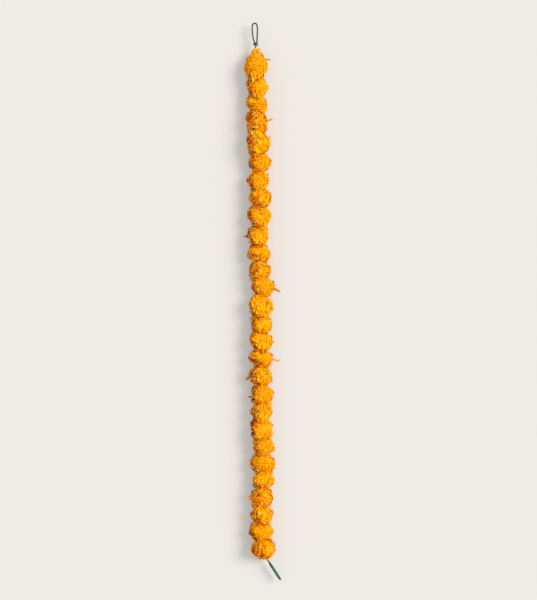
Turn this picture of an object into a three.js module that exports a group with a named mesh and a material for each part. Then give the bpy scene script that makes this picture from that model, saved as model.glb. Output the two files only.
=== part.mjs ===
// A marigold garland: flower heads threaded one on another along a green coated wire, with a narrow loop of the
// same wire at each end. It lies on a surface at z = 0, straight along Y, with the loop that it hangs by at +Y.
// Millimetres, +Z up. The origin is on the surface, under the middle of the garland.
import * as THREE from "three";

// ---- Driving dimensions ----

const OVERALL = 1524; // tip of one loop to tip of the other, along Y
const HALF = OVERALL / 2;
const WIRE_RADIUS = 2.1;
const WIRE_SIDES = 8; // of its cross-section
const WIRE_HEIGHT = 28; // centre of the wire above the surface, on which the heads lie slightly flattened
const FIT = 0.35; // clearance between pieces that touch

// Where the wire runs: x at each y, from the top head's crown to the bottom head's calyx.
const WIRE_ROUTE = [
  [-20, HALF - 67],
  [-16, 520],
  [-11, 270],
  [-9, 90],
  [-5, -100],
  [-4, -300],
  [-2, -500],
  [-2, -640],
];
const WIRE_FOOT_X = 13; // where it leaves the bottom head

// The flower heads from the top down: span along the wire, width across it, and how far the head's middle
// lies to the right of the wire.
const HEADS = [
  [85, 62, 1], [48, 59, 2], [49, 59, -1], [56, 63, -2], [56, 69, 0], [50, 61, 4], [46, 65, 0],
  [46, 68, 4], [52, 71, -1], [53, 62, -4], [49, 64, -1], [46, 64, -1], [46, 63, 8], [52, 70, 1],
  [45, 65, 1], [49, 67, -1], [50, 67, 0], [48, 69, -2], [50, 65, 0], [44, 65, -2], [48, 68, 0],
  [45, 65, 4], [52, 66, 3], [41, 62, 4], [52, 67, -3], [41, 64, -2], [49, 68, -2], [51, 69, -3],
];

// A head: petals stand in rows round a small core, from the crown at the top to the calyx underneath.
const COLUMNS = 8;
const ROW_ANGLES = [24, 57, 90, 123, 156]; // degrees from the crown, between the rows of petals
const CROWN_ROW_ANGLES = [9, 28, 61, 108, 158]; // the top head's, whose inner petals hug the wire
const CORE_RADIUS = 15; // across the wire
const CORE_SHARE = 0.27; // the core's reach along the wire, as a share of the head's span
const CORE_EYE = 0.9; // where the core meets the wire above, as a share of its reach
const CORE_SEAT = 0.94; // the same underneath, where the calyx is

// A petal's tip, in shares of the room that one petal has, down its row and across it.
const PETAL_THICKNESS = [1.1, 1.7, 1.1]; // at the tip's left, middle and right, in millimetres
const PETAL_SIDE = 0.07; // the gap beside the tip
const PETAL_PLACE = { middle: 0.5, spread: 0.14, twist: 0.16, leastWave: 0.1, moreWave: 0.14 };
const PETAL_AT_WIRE = { middle: 0.12, spread: 0, twist: 0, leastWave: 0.03, moreWave: 0 };
const PETAL_LENGTH = { least: 0.95, more: 0.13 }; // shares of the head's outline
const NOTCHED_TIP = [1, 0.94, 0.98]; // lengths at the left, middle and right
const POINTED_TIP = [0.92, 1, 0.94];
const HOLE_RADIUS = (WIRE_RADIUS + FIT) / Math.cos(Math.PI / COLUMNS);
const MOST_LEAN = 7; // degrees a head may lean on the wire
const OPEN_END = 1.34; // how far past its span a head's outline would close, so that neighbours press flat
const SHUT_END = 1.03; // the same at the two ends of the garland, where the outline closes
const WIDEST_OF_TOP_HEAD = 0.42; // where the top head is widest, as a share of its span from below
const SHOULDER = { in: 0.15, at: 27, over: 22 }; // where the top head draws in to its crown, in degrees from it

const CALYX_CORNERS = 8;
const CALYX_RADIUS = 4.6;
const CALYX_FOOT_RADIUS = 3.6;
const CALYX_TOOTH = 1.3; // how far the rim's points rise and its notches fall
const LAST_CALYX = { tail: 4, footRadius: 3.3 }; // the bottom one tapers on past its head, along the wire

// The loops at the two ends, in degrees and millimetres. `heading` is the way that a loop points, turned from +Y
// towards +X, and `roll` its turn about its own length.
const LOOP_STEPS = 56;
const TOP_LOOP = { name: "hanging_loop", length: HALF - WIRE_ROUTE[0][1], heading: -2, roll: 0 };
const BOTTOM_LOOP = { name: "end_loop", length: 64, heading: 147, roll: 72 };
const WRAP = { turns: 1.05, from: 10.5, to: 5, parts: 10, tail: [6.6, 4.4, 4.2] }; // round the hanging loop's neck

const MARIGOLD = new THREE.MeshStandardMaterial({ color: 0xf58a07, roughness: 0.75, metalness: 0 });
const CALYX_GREEN = new THREE.MeshStandardMaterial({ color: 0x4f6a2c, roughness: 0.65, metalness: 0 });
const WIRE_GREEN = new THREE.MeshStandardMaterial({ color: 0x1f5a2c, roughness: 0.3, metalness: 0 });

// ---- Helpers ----

const radians = THREE.MathUtils.degToRad;

/** A seeded random number generator (mulberry32), from 0 to 1. */
function seeded(seed) {
  let state = seed >>> 0;
  return () => {
    state = (state + 0x6d2b79f5) >>> 0;
    let t = state;
    t = Math.imul(t ^ (t >>> 15), t | 1);
    t ^= t + Math.imul(t ^ (t >>> 7), t | 61);
    return ((t ^ (t >>> 14)) >>> 0) / 4294967296;
  };
}

/** Closed surface from points and triangles, given as lists of Vector3 and of index triples. */
function solidFrom(points, triangles) {
  const geometry = new THREE.BufferGeometry().setFromPoints(points);
  geometry.setIndex(triangles.flat());
  const flat = geometry.toNonIndexed();
  flat.computeVertexNormals();
  return flat;
}

/** `count` points on a circle about Y. */
function ring(radius, y, count, start = 0) {
  return Array.from({ length: count }, (_, k) => {
    const round = start + (2 * Math.PI * k) / count;
    return new THREE.Vector3(radius * Math.cos(round), y, radius * Math.sin(round));
  });
}

/** The triangles between two rings of points, `a` before `b`, whose points pair up after a shift. */
function band(a, b, count, shift = 0) {
  return Array.from({ length: count }, (_, k) => {
    const next = (k + 1) % count;
    const [c, d] = [(k + shift) % count, (next + shift) % count];
    return [[a + k, a + next, b + d], [a + k, b + d, b + c]];
  }).flat();
}

/** A run of straight stretches whose extrusion steps fall on its own points. */
class Route extends THREE.Curve {
  constructor(points) {
    super();
    this.points = points;
  }

  getPoint(t, target = new THREE.Vector3()) {
    const place = Math.min(Math.max(t, 0), 1) * (this.points.length - 1);
    const from = Math.min(Math.floor(place), this.points.length - 2);
    return target.copy(this.points[from]).lerp(this.points[from + 1], place - from);
  }

  getPointAt(u, target) {
    return this.getPoint(u, target);
  }

  getTangentAt(u, target) {
    return this.getTangent(u, target);
  }
}

/** Round wire along a curve. */
function wireAlong(curve, steps) {
  const section = new THREE.Shape();
  for (let k = 0; k < WIRE_SIDES; k++) {
    const angle = (2 * Math.PI * k) / WIRE_SIDES;
    const [x, y] = [WIRE_RADIUS * Math.cos(angle), WIRE_RADIUS * Math.sin(angle)];
    if (k) section.lineTo(x, y);
    else section.moveTo(x, y);
  }
  section.closePath();
  return new THREE.ExtrudeGeometry(section, { steps, extrudePath: curve, bevelEnabled: false });
}

// ---- Stations: the pinches between the heads, on the wire ----

const ROUTE_STEPS = 400;
const routeCurve = new THREE.SplineCurve(WIRE_ROUTE.map(([x, y]) => new THREE.Vector2(x, y)));
const routePoints = routeCurve.getPoints(ROUTE_STEPS);

/** The wire's x at a given y, above the bottom head. */
function wireX(y) {
  const after = routePoints.findIndex((p) => p.y <= y);
  if (after <= 0) return routePoints[after === 0 ? 0 : routePoints.length - 1].x;
  const [p, q] = [routePoints[after - 1], routePoints[after]];
  return p.x + ((q.x - p.x) * (p.y - y)) / (p.y - q.y);
}

const stations = [];
let stationY = WIRE_ROUTE[0][1];
for (const [span] of HEADS) {
  stations.push(new THREE.Vector3(wireX(stationY), stationY, WIRE_HEIGHT));
  stationY -= span;
}
stations.push(new THREE.Vector3(WIRE_FOOT_X, stationY, WIRE_HEIGHT));

// ---- A flower head ----

const SEED = 28;
const random = seeded(SEED);

/**
 * A head in its own frame: Y along the wire towards the crown, Z up, the origin on the wire where the head is
 * widest. `above` and `below` are its reach along the wire, `aside` its middle's distance from the wire, and
 * `bendAbove` and `bendBelow` how the wire turns, in radians, to the planes that it shares with its neighbours.
 */
class Head {
  constructor({ above, below, bendAbove, bendBelow, width, aside, isFirst, isLast }) {
    Object.assign(this, { above, below, aside, isFirst, isLast });
    this.across = width / 2;
    this.outlineAbove = above * (isFirst ? SHUT_END : OPEN_END);
    this.outlineBelow = below * (isLast ? SHUT_END : OPEN_END);
    this.angles = (isFirst ? CROWN_ROW_ANGLES : ROW_ANGLES).map(radians);
    this.coreAlong = CORE_SHARE * (above + below);
    this.step = (2 * Math.PI) / COLUMNS;
    this.turn = random() * this.step;
    const most = isFirst ? 0 : radians(MOST_LEAN);
    const euler = new THREE.Euler(most * (2 * random() - 1), 0, most * (2 * random() - 1));
    this.lean = new THREE.Quaternion().setFromEuler(euler);
    // What the head must not cross: its neighbours' planes and the surface that it lies on.
    this.limits = [
      [new THREE.Vector3(Math.sin(bendAbove), Math.cos(bendAbove), 0), above * Math.cos(bendAbove) - FIT / 2],
      [new THREE.Vector3(-Math.sin(bendBelow), -Math.cos(bendBelow), 0), below * Math.cos(bendBelow) - FIT / 2],
      [new THREE.Vector3(0, 0, -1), WIRE_HEIGHT],
    ];
  }

  /** Unit vector at an angle from the crown and an angle round it. The crown leans most, the foot least. */
  towards(polar, round) {
    const direction = new THREE.Vector3(
      Math.sin(polar) * Math.cos(round),
      Math.cos(polar),
      Math.sin(polar) * Math.sin(round),
    );
    return direction.applyQuaternion(new THREE.Quaternion().slerp(this.lean, Math.cos(polar / 2) ** 2));
  }

  /** How far the head's outline, an ellipsoid set aside from the wire, is from the origin in a direction. */
  outline(direction) {
    const along = direction.y > 0 ? this.outlineAbove : this.outlineBelow;
    const scale = new THREE.Vector3(1 / this.across, 1 / along, 1 / this.across);
    const d = direction.clone().multiply(scale);
    const m = new THREE.Vector3(this.aside, 0, 0).multiply(scale);
    const b = d.dot(m);
    const reach = (b + Math.sqrt(b * b - d.lengthSq() * (m.lengthSq() - 1))) / d.lengthSq();
    if (!this.isFirst) return reach;
    const fromCrown = THREE.MathUtils.radToDeg(Math.acos(direction.y));
    return reach * (1 - SHOULDER.in * Math.exp(-(((fromCrown - SHOULDER.at) / SHOULDER.over) ** 2)));
  }

  /** A petal's tip: the point in a direction at a share of the outline, stopped at the head's limits. */
  tip(direction, share) {
    const room = this.limits.map(([normal, distance]) => {
      const facing = direction.dot(normal);
      return facing > 0 ? distance / facing : Infinity;
    });
    return direction.clone().multiplyScalar(Math.min(this.outline(direction) * share, ...room));
  }

  /** A point on the surface of the core, an ellipsoid. */
  onCore(polar, round) {
    const d = this.towards(polar, round);
    return d.divideScalar(Math.hypot(d.x / CORE_RADIUS, d.y / this.coreAlong, d.z / CORE_RADIUS));
  }

  /** The points round the core at an angle from the crown. Each row is half a petal on from the last. */
  coreRing(row) {
    return Array.from({ length: COLUMNS }, (_, k) => this.onCore(this.angles[row], this.round(row, 0, k)));
  }

  /** The angle round the crown at a share `down` of a row and a share `aside` of a petal's room. */
  round(row, down, k) {
    return this.turn + (k + (row + down) / 2) * this.step;
  }

  /** The six points of a petal's tip: left, middle and right of the upper face, then of the lower. */
  petalTip(row, k) {
    const cell = this.angles[row + 1] - this.angles[row];
    const place = this.isFirst && row === 0 ? PETAL_AT_WIRE : PETAL_PLACE;
    const middle = place.middle + place.spread * (random() - 0.5);
    const twist = place.twist * (2 * random() - 1);
    const wave = (place.leastWave + place.moreWave * random()) * (random() < 0.5 ? -1 : 1);
    const length = PETAL_LENGTH.least + PETAL_LENGTH.more * random();
    const shape = random() < 0.5 ? NOTCHED_TIP : POINTED_TIP;
    const places = [
      [middle + twist, PETAL_SIDE],
      [middle + wave, 0.5],
      [middle - twist, 1 - PETAL_SIDE],
    ];
    return [-0.5, 0.5].flatMap((side) =>
      places.map(([down, across], i) => {
        const polar = this.angles[row] + cell * down;
        const round = this.round(row, down, k + across);
        const reach = this.outline(this.towards(polar, round));
        const direction = this.towards(polar + (side * PETAL_THICKNESS[i]) / reach, round);
        return this.tip(direction, length * shape[i]);
      }),
    );
  }

  /** The petals and core, in one solid with a hole for the wire. */
  geometry() {
    const rows = this.angles.length - 1;
    const points = ring(HOLE_RADIUS, this.coreAlong * CORE_EYE, COLUMNS, this.turn);
    const rings = this.angles.map((_, row) => points.push(...this.coreRing(row)) - COLUMNS);
    const holeFoot = points.push(...ring(HOLE_RADIUS, this.seat, COLUMNS, this.round(rows, 0, 0))) - COLUMNS;
    const triangles = [
      ...band(0, rings[0], COLUMNS),
      ...band(rings[rows], holeFoot, COLUMNS),
      ...band(holeFoot, 0, COLUMNS, rows / 2),
    ];
    for (let row = 0; row < rows; row++) {
      for (let k = 0; k < COLUMNS; k++) {
        const next = (k + 1) % COLUMNS;
        const [a, b] = [rings[row] + k, rings[row] + next];
        const [c, d] = [rings[row + 1] + k, rings[row + 1] + next];
        const left = points.push(...this.petalTip(row, k)) - 6;
        const [middle, right, leftUnder, middleUnder, rightUnder] = [1, 2, 3, 4, 5].map((i) => left + i);
        triangles.push(
          [a, b, middle], [a, middle, left], [b, right, middle],
          [c, middleUnder, d], [c, leftUnder, middleUnder], [d, middleUnder, rightUnder],
          [a, left, leftUnder], [a, leftUnder, c], [b, rightUnder, right], [b, d, rightUnder],
          [left, middle, middleUnder], [left, middleUnder, leftUnder],
          [middle, right, rightUnder], [middle, rightUnder, middleUnder],
        );
      }
    }
    return solidFrom(points, triangles);
  }

  /** Where the core's underside meets the wire. */
  get seat() {
    return -this.coreAlong * CORE_SEAT;
  }

  /** The green cup under the head: a ring round the wire with a pointed rim. */
  calyxGeometry() {
    const rim = this.seat - CALYX_TOOTH - 3 * FIT;
    const foot = this.isLast ? -this.below - LAST_CALYX.tail + FIT : -this.below + FIT;
    const tooth = (k) => (k % 2 ? -CALYX_TOOTH : CALYX_TOOTH);
    const points = [
      ...ring(HOLE_RADIUS, foot, CALYX_CORNERS),
      ...ring(this.isLast ? LAST_CALYX.footRadius : CALYX_FOOT_RADIUS, foot, CALYX_CORNERS),
      ...ring(CALYX_RADIUS, rim, CALYX_CORNERS).map((p, k) => p.setY(rim + tooth(k))),
      ...ring(HOLE_RADIUS, rim, CALYX_CORNERS),
    ];
    const starts = [0, 1, 2, 3].map((i) => i * CALYX_CORNERS);
    return solidFrom(points, starts.flatMap((start, i) => band(starts[(i + 1) % 4], start, CALYX_CORNERS)));
  }
}

// ---- The loops ----

/** A point in a loop's own frame: X across it, Y along it away from the head. */
const inLoop = ([x, y, z = 0]) => new THREE.Vector3(x, y, z);

/**
 * The wire's middle along the hanging loop. It goes up one side and down the other, and its end turns round the
 * neck and stands out a little.
 */
function hangingLoopPoints(length) {
  const bend = length - WIRE_RADIUS;
  const sides = [
    [0, 0], [0, 6], [-0.5, 10], [-2.6, 14.5], [-4.9, 22], [-6.3, 32], [-7, bend - 19], [-6.4, bend - 7],
    [-3.8, bend - 1.6], [0, bend], [3.8, bend - 1.6], [6.4, bend - 7], [7, bend - 19], [6, 32], [5, 20],
    [4.8, 14.5],
  ];
  const wrapRadius = 2 * WIRE_RADIUS + FIT;
  const wrap = Array.from({ length: WRAP.parts + 1 }, (_, k) => {
    const share = k / WRAP.parts;
    const about = share * 2 * Math.PI * WRAP.turns;
    const y = THREE.MathUtils.lerp(WRAP.from, WRAP.to, share);
    return [wrapRadius * Math.cos(about), y, wrapRadius * Math.sin(about)];
  });
  return [...sides, ...wrap, WRAP.tail].map(inLoop);
}

/** The wire's middle along the end loop, a hairpin whose end comes back beside the neck. */
function endLoopPoints(length) {
  const bend = length - WIRE_RADIUS;
  return [
    [0, 0], [0, 2.5], [-2.4, 8], [-5.4, 14], [-6.9, 22], [-7.2, 32], [-7.2, bend - 18], [-6.5, bend - 7],
    [-3.9, bend - 1.6], [0, bend], [3.9, bend - 1.6], [6.5, bend - 7], [7.2, bend - 18], [7.2, 32], [6.9, 22],
    [5.4, 14], [3.9, 9],
  ].map(inLoop);
}

/** A loop on the end of the wire at `neck`, with its straight end reaching back into the head, to `inside`. */
function loopMesh({ name, heading, roll }, points, neck, inside) {
  const turn = new THREE.Quaternion().setFromEuler(new THREE.Euler(0, radians(roll), -radians(heading), "ZYX"));
  const outside = points.map((p) => p.applyQuaternion(turn).add(neck));
  const stub = [0, 0.33, 0.66].map((share) => inside.clone().lerp(neck, share));
  const curve = new THREE.CatmullRomCurve3([...stub, ...outside], false, "centripetal");
  const mesh = new THREE.Mesh(wireAlong(curve, LOOP_STEPS), WIRE_GREEN);
  mesh.name = name;
  return mesh;
}

// ---- Assembly ----

const garland = new THREE.Group();
const headings = HEADS.map((_, i) => {
  const along = stations[i].clone().sub(stations[i + 1]);
  return Math.atan2(along.x, along.y);
});

/** The turn from a head's own heading to the plane between it and a neighbour, half way to the neighbour's. */
const bendTo = (i, neighbour) => ((headings[neighbour] ?? headings[i]) - headings[i]) / 2;

const heads = HEADS.map(([, width, aside], i) => {
  const [top, bottom] = [stations[i], stations[i + 1]];
  const [isFirst, isLast] = [i === 0, i === HEADS.length - 1];
  const length = top.distanceTo(bottom);
  const below = length * (isFirst ? WIDEST_OF_TOP_HEAD : 0.5);
  const bends = { bendAbove: bendTo(i, i - 1), bendBelow: bendTo(i, i + 1) };
  const head = new Head({ above: length - below, below, ...bends, width, aside, isFirst, isLast });
  const number = String(i + 1).padStart(2, "0");
  const petals = new THREE.Mesh(head.geometry(), MARIGOLD);
  petals.name = `head_${number}`;
  const calyx = new THREE.Mesh(head.calyxGeometry(), CALYX_GREEN);
  calyx.name = `calyx_${number}`;
  const holder = new THREE.Group();
  holder.position.copy(bottom).lerp(top, below / length);
  holder.rotation.z = -headings[i];
  holder.add(petals, calyx);
  garland.add(holder);
  return holder;
});

// The wire is one piece from loop to loop. It is divided inside the two end heads.
const [firstJoint, lastJoint] = [heads[0].position, heads.at(-1).position];
const shortOf = (joint, neighbour) => neighbour.clone().sub(joint).setLength(FIT).add(joint);
const wireStops = [shortOf(firstJoint, stations[1]), ...stations.slice(1, -1), shortOf(lastJoint, stations.at(-2))];
const wire = new THREE.Mesh(wireAlong(new Route(wireStops), wireStops.length - 1), WIRE_GREEN);
wire.name = "core_wire";
garland.add(wire);
garland.add(loopMesh(TOP_LOOP, hangingLoopPoints(TOP_LOOP.length), stations[0], firstJoint));
const lastNeck = stations.at(-1).clone().sub(lastJoint);
lastNeck.setLength(lastNeck.length() + LAST_CALYX.tail).add(lastJoint);
garland.add(loopMesh(BOTTOM_LOOP, endLoopPoints(BOTTOM_LOOP.length), lastNeck, lastJoint));

export default garland;
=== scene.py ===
"""The looks of a marigold garland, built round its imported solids.

Each flower head is a crowd of thin ruffled petals round a folded core with the same finish. The heads are
threaded on one green coated wire, which ends in a loop at both ends, and loose florets stick out between
them. Metres, +Z up, +Y towards the loop that the garland hangs by. Every piece is made in place, with its
object at the origin.
"""

from __future__ import annotations

import logging
import math
from dataclasses import dataclass, field
from enum import Enum
from typing import Callable, Sequence

import bpy
import numpy as np
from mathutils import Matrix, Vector


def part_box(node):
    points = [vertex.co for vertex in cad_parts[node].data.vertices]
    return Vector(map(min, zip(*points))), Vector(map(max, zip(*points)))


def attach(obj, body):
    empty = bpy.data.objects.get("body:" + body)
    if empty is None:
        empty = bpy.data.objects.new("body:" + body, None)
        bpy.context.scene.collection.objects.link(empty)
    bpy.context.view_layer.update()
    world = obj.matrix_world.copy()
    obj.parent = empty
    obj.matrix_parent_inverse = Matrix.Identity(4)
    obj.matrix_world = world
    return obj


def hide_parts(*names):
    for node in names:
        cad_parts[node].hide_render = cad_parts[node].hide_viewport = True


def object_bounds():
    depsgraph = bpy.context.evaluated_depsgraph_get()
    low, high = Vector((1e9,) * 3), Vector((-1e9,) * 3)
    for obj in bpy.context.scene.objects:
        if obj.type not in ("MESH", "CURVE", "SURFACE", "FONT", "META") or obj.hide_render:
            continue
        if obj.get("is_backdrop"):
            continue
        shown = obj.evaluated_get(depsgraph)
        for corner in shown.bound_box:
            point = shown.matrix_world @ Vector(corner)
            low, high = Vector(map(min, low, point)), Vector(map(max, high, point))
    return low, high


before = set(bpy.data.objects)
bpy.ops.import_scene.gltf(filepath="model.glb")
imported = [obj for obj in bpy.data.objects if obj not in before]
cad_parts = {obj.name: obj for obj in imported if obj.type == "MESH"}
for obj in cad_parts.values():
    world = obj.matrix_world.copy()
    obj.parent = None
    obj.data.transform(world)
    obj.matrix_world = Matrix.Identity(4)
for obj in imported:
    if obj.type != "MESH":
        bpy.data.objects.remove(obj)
CAD_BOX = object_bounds()

LOG = logging.getLogger("garland")
HEAD_COUNT = 28
HEAD_SEED = 4000
NECK_SEED = 900
FLORET_SEED = 77
MM = 0.001
GOLDEN_ANGLE = math.pi * (3 - math.sqrt(5))

Array = np.ndarray
Span = tuple[float, float]
Colour = tuple[float, float, float]
Stop = tuple[float, Colour]
Waves = Callable[[Array, Array], Array]


class Slot(Enum):
    """Material slots of the record."""

    PETALS = "petals"
    CALYX = "calyx"
    WIRE = "wire"


# ---- Meshes ----


@dataclass
class Skin:
    """A closed surface of quads, with a UV and a tone at every vertex.

    A quad that has the same corner twice running is a triangle, as at a pole.
    """

    vertices: Array
    quads: Array
    uv: Array
    tone: Array

    @staticmethod
    def joined(skins: Sequence["Skin"]) -> "Skin":
        """Put skins together, with the quads renumbered.

        Args:
            skins: The skins, each closed.

        Returns:
            One skin that holds them all.
        """
        starts = np.cumsum([0] + [len(skin.vertices) for skin in skins[:-1]])
        return Skin(
            np.concatenate([skin.vertices for skin in skins]),
            np.concatenate([skin.quads + start for skin, start in zip(skins, starts)]),
            np.concatenate([skin.uv for skin in skins]),
            np.concatenate([skin.tone for skin in skins]),
        )

    def piece(self, name: str, material: bpy.types.Material, sharp_degrees: float = 60) -> bpy.types.Object:
        """Put the skin into a new object.

        Args:
            name: The piece's name.
            material: Its only material.
            sharp_degrees: Edges that turn by more than this are shaded sharp.

        Returns:
            The object, at the origin.
        """
        mesh = bpy.data.meshes.new(name)
        mesh.vertices.add(len(self.vertices))
        mesh.vertices.foreach_set("co", self.vertices.astype(np.float32).ravel())
        kept = self.quads != np.roll(self.quads, -1, axis=1)
        corners, sizes = self.quads[kept], kept.sum(axis=1)
        mesh.loops.add(corners.size)
        mesh.loops.foreach_set("vertex_index", corners.astype(np.int32))
        mesh.polygons.add(len(self.quads))
        mesh.polygons.foreach_set("loop_start", (np.cumsum(sizes) - sizes).astype(np.int32))
        mesh.update(calc_edges=True)
        layer = mesh.uv_layers.new(name="UVMap")
        layer.data.foreach_set("uv", self.uv[corners].astype(np.float32).ravel())
        tone = mesh.attributes.new("tone", "FLOAT", "POINT")
        tone.data.foreach_set("value", self.tone.astype(np.float32))
        mesh.shade_smooth()
        mesh.set_sharp_from_angle(angle=math.radians(sharp_degrees))
        mesh.materials.append(material)
        mesh.validate()
        piece = bpy.data.objects.new(name, mesh)
        bpy.context.scene.collection.objects.link(piece)
        return piece


def unit(vectors: Array) -> Array:
    """Return the vectors, scaled to length 1 along the last axis."""
    return vectors / np.maximum(np.linalg.norm(vectors, axis=-1, keepdims=True), 1e-12)


def smooth(low: float, high: float, value: Array) -> Array:
    """Return the smoothstep of value: 0 below low, 1 above high, 3t^2 - 2t^3 between."""
    t = np.clip((value - low) / (high - low), 0, 1)
    return t * t * (3 - 2 * t)


def turned(points: Array, heading: float) -> Array:
    """Return the points turned clockwise about +Z, so that +Y comes to the heading, in radians."""
    cos, sin = math.cos(heading), math.sin(heading)
    return points @ np.array([[cos, -sin, 0], [sin, cos, 0], [0, 0, 1]])


def spherical(polar: Array, round_: Array) -> Array:
    """Return unit vectors at an angle from +Y and an angle round it from +X to +Z."""
    sin = np.sin(polar)
    return np.stack([sin * np.cos(round_), np.cos(polar), sin * np.sin(round_)], axis=-1)


def ring_quads(rings: int, sides: int) -> Array:
    """Number the quads between closed rings of points.

    Args:
        rings: How many rings there are, numbered one after the other.
        sides: Points in each ring.

    Returns:
        The quads' corners, n by 4.
    """
    ring, side = np.meshgrid(np.arange(rings - 1), np.arange(sides), indexing="ij")
    after = (side + 1) % sides
    near, far = ring * sides, (ring + 1) * sides
    return np.stack([near + side, near + after, far + after, far + side], axis=-1).reshape(-1, 4)


def merged(skin: Skin, sides: int) -> Skin:
    """Make each end's ring, whose points are all in one place, a single point.

    Args:
        skin: A skin made of rings, such as a tube.
        sides: Points in each ring.

    Returns:
        The same surface, with a pole at both ends.
    """
    count = len(skin.vertices)
    index = np.arange(count)
    index[:sides] = 0
    index[count - sides:] = count - sides
    kept = np.unique(index)
    renumber = np.zeros(count, dtype=int)
    renumber[kept] = np.arange(len(kept))
    return Skin(skin.vertices[kept], renumber[index][skin.quads], skin.uv[kept], skin.tone[kept])


def along_path(path: Array, radius: Array, sides: int, tone: float | Array = 0.5, flat: float = 1.0) -> Skin:
    """Carry a circle or an ellipse along a path.

    The circle at each point lies across the path's direction there. Its first axis is carried from one point
    to the next by taking away what lies along the new direction. The ends close on a point.

    Args:
        path: Points, n by 3. The path doesn't start straight up.
        radius: The circle's radius at each point.
        sides: Points round the circle.
        tone: The skin's tone, for all of it or for each point of the path.
        flat: The second axis of the section, as a share of the first.

    Returns:
        The closed tube, with u round it and v along it in metres.
    """
    nearly_up = [0.11, 0.07, 0.99]
    direction = unit(np.gradient(path, axis=0))
    axis = np.empty_like(path)
    last = unit(np.cross(direction[0], nearly_up))
    for i, along in enumerate(direction):
        last = unit(last - along * (last @ along))
        axis[i] = last
    other = np.cross(direction, axis)
    angle = np.linspace(0, 2 * np.pi, sides, endpoint=False)
    cos, sin = np.cos(angle)[None, :, None], np.sin(angle)[None, :, None]
    rings = path[:, None] + (cos * axis[:, None] + flat * sin * other[:, None]) * radius[:, None, None]
    ends = np.repeat(path[[0, -1], None], sides, axis=1)
    points = np.concatenate([ends[:1], rings, ends[1:]])
    run = np.concatenate([[0], np.cumsum(np.linalg.norm(np.diff(path, axis=0), axis=1))])
    run = np.concatenate([run[:1], run, run[-1:]])
    uv = np.stack(np.broadcast_arrays(angle[None] / (2 * np.pi), run[:, None]), axis=-1)
    tones = np.broadcast_to(tone, len(path))
    tones = np.repeat(np.concatenate([tones[:1], tones, tones[-1:]]), sides)
    skin = Skin(points.reshape(-1, 3), ring_quads(len(points), sides), uv.reshape(-1, 2), tones)
    return merged(skin, sides)


def spline(points: Sequence[Sequence[float]], steps: int) -> Array:
    """Draw a Catmull-Rom curve through points.

    Between two points the curve is the usual cubic blend of the four nearest, with the end points mirrored.

    Args:
        points: The points to pass through, n by 3.
        steps: Points on the curve for each stretch.

    Returns:
        The curve, (n - 1) * steps + 1 by 3.
    """
    p = np.asarray(points, dtype=float)
    p = np.concatenate([[2 * p[0] - p[1]], p, [2 * p[-1] - p[-2]]])
    t = np.linspace(0, 1, steps, endpoint=False)[None, :, None]
    a, b, c, d = (p[i: len(p) - 3 + i, None] for i in range(4))
    blend = 0.5 * (2 * b + (c - a) * t + (2 * a - 5 * b + 4 * c - d) * t**2 + (3 * b - a - 3 * c + d) * t**3)
    return np.concatenate([blend.reshape(-1, 3), p[-2:-1]])


# ---- Finishes ----


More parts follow.
